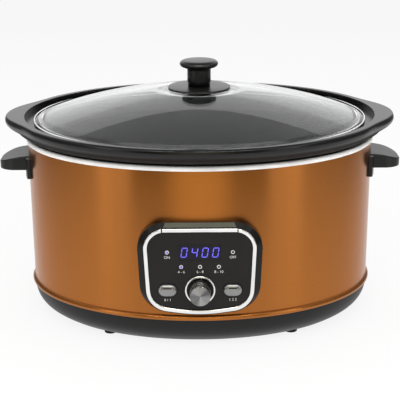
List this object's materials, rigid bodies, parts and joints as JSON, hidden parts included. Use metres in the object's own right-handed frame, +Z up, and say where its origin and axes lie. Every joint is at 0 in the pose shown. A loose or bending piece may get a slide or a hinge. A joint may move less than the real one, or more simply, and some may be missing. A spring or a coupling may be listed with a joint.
{
  "type": "slow cooker",
  "caption": "Oval countertop slow cooker: copper-toned heated housing with a digital panel, turning dial and push buttons, lift-out stoneware crock and glass lid with a knob.",
  "frame": {"origin": "on the table under the middle of the oval, at the bottom of the feet", "axes": "+X to the right along the long side, -Y towards the control panel, +Z up"},
  "size_m": [0.446, 0.326, 0.2859],
  "materials": {
    "base_plastic": "satin moulded",
    "foot_rubber": "matt",
    "copper_metal": "brushed copper-toned lacquer",
    "cream_enamel": "gloss enamel",
    "well_steel": "plain",
    "heater_mica": "mica wrap",
    "bright_steel": "zinc plated",
    "black_stoneware": "satin glaze",
    "lid_glass": "tempered clear",
    "knob_plastic": "satin gloss",
    "handle_plastic": "satin",
    "pod_plastic": "gloss",
    "frame_chrome": "bright",
    "face_plastic": "satin",
    "display_tint": "tinted",
    "dark_module": "plain",
    "clear_pipe": "clear",
    "spun_silver": "spun",
    "button_silver": "satin",
    "circuit_board": "solder mask",
    "cable_grey": "plain"
  },
  "bodies": {
    "housing": {"base": "base_plastic", "bottom_cover": "base_plastic", "feet": "foot_rubber", "outer_wrap": "copper_metal", "rim_ring": "cream_enamel", "heating_well": "well_steel", "seat_pad": "foot_rubber", "heater_band": "heater_mica", "heat_shield": "bright_steel", "tie_bolt": "bright_steel", "tie_sleeves": "bright_steel", "tie_nut": "bright_steel", "temperature_sensor": "bright_steel", "thermal_fuse": "bright_steel", "handle_left": "handle_plastic", "handle_right": "handle_plastic", "handle_screws": "bright_steel", "panel_pod": "pod_plastic", "panel_frame": "frame_chrome", "panel_frame_top": "frame_chrome", "panel_face": "face_plastic", "display_window": "display_tint", "display_module": "dark_module", "light_pipes": "clear_pipe", "dial_ring": "frame_chrome", "dial_dish": "face_plastic", "rotary_encoder": "dark_module", "tact_switches": "dark_module", "control_board": "circuit_board", "board_screws": "bright_steel", "power_board": "circuit_board", "relay": "dark_module", "capacitor": "dark_module", "terminal_block": "dark_module", "ribbon_cable": "cable_grey", "cord_gland": "foot_rubber"},
    "crock": {"crock": "black_stoneware"},
    "lid": {"lid_glass": "lid_glass", "knob_disc": "knob_plastic", "lid_knob": "knob_plastic", "lid_washer": "foot_rubber", "lid_screw": "bright_steel"},
    "dial": {"dial_knob": "spun_silver", "encoder_shaft": "bright_steel"},
    "power_button": {"button_power": "button_silver"},
    "menu_button": {"button_menu": "button_silver"}
  },
  "joints": [
    {"name": "crock_lift", "type": "slide", "parent": "housing", "child": "crock", "axis": [0, 0, 1], "range_m": [0, 0.18]},
    {"name": "lid_lift", "type": "slide", "parent": "crock", "child": "lid", "axis": [0, 0, 1], "range_m": [0, 0.08]},
    {"name": "dial_turn", "type": "hinge", "parent": "housing", "child": "dial", "pos_m": [0, -0.146, 0.0743], "axis": [0, -1, 0], "continuous": true},
    {"name": "power_press", "type": "slide", "parent": "housing", "child": "power_button", "axis": [0, 1, 0], "range_m": [0, 0.001], "stiffness_N_per_m": 600},
    {"name": "menu_press", "type": "slide", "parent": "housing", "child": "menu_button", "axis": [0, 1, 0], "range_m": [0, 0.001], "stiffness_N_per_m": 600}
  ]
}
